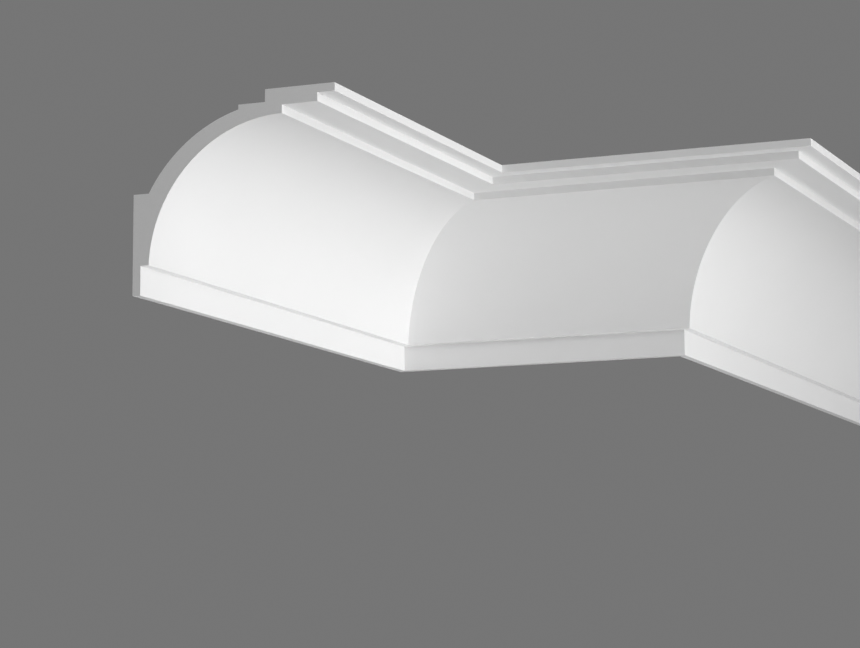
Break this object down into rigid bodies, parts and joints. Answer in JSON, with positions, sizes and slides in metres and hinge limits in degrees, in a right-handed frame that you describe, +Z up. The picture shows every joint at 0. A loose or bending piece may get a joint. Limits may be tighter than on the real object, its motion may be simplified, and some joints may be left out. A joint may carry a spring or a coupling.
{
  "type": "cove cornice moulding, mitred run",
  "caption": "Hollow-backed cove cornice moulding with a stepped top edge, carried round an inside and an outside corner. Covers the angle between wall and ceiling.",
  "frame": {"origin": "middle of the wall pad of the left length, on the wall plane", "axes": "+X along the left length, from its square cut end to the inside corner; +Y into the wall behind it, so the room is on the -Y side; +Z up to the ceiling"},
  "size_m": [1.155, 0.44, 0.15],
  "materials": {
    "primed_foam": "matt white primer on smooth rigid polymer foam"
  },
  "bodies": {
    "root": {"left_length": "primed_foam", "return_length": "primed_foam", "right_length": "primed_foam"}
  },
  "joints": []
}
